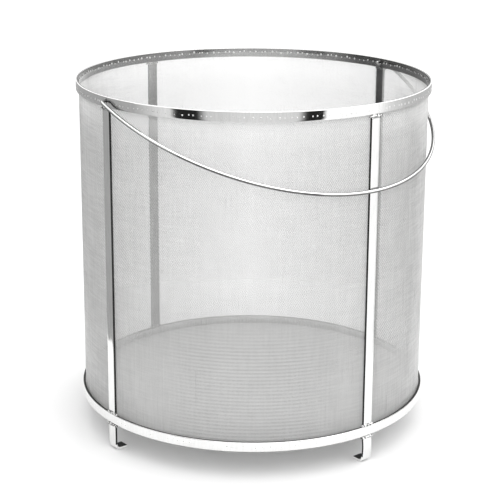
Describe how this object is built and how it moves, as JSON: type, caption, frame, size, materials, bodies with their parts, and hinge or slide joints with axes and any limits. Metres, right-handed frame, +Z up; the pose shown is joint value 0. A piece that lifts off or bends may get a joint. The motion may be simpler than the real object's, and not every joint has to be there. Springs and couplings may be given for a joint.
{
  "type": "brewing grain basket",
  "caption": "Round open-top basket of woven stainless wire on a flat-bar frame with short feet and a swinging wire bail handle.",
  "frame": {"origin": "on the basket's own vertical axis, at the level of the surface its feet stand on", "axes": "+Z up through the open mouth; X along the bail's hinge axis; the bail hangs down on the -Y side at rest"},
  "size_m": [0.3626, 0.3545, 0.35],
  "materials": {
    "polished_bar": "gloss",
    "bail_wire": "polished",
    "woven_cloth": "satin",
    "weld_bead": "satin"
  },
  "bodies": {
    "basket": {"top_rim_ring": "polished_bar", "bottom_ring": "polished_bar", "mesh_wall": "woven_cloth", "mesh_floor": "woven_cloth", "strap_front": "polished_bar", "strap_right": "polished_bar", "strap_back": "polished_bar", "strap_left": "polished_bar", "foot_front": "polished_bar", "foot_right": "polished_bar", "foot_back": "polished_bar", "foot_left": "polished_bar", "weld_rim_front": "weld_bead", "weld_rim_right": "weld_bead", "weld_rim_back": "weld_bead", "weld_rim_left": "weld_bead", "weld_ring_front": "weld_bead", "weld_ring_right": "weld_bead", "weld_ring_back": "weld_bead", "weld_ring_left": "weld_bead", "weld_foot_front": "weld_bead", "weld_foot_right": "weld_bead", "weld_foot_back": "weld_bead", "weld_foot_left": "weld_bead"},
    "bail": {"bail_handle": "bail_wire"}
  },
  "joints": [
    {"name": "bail_swing", "type": "hinge", "parent": "basket", "child": "bail", "pos_m": [0, 0, 0.3458], "axis": [-1, 0, 0], "range_deg": [0, 226.5]}
  ]
}
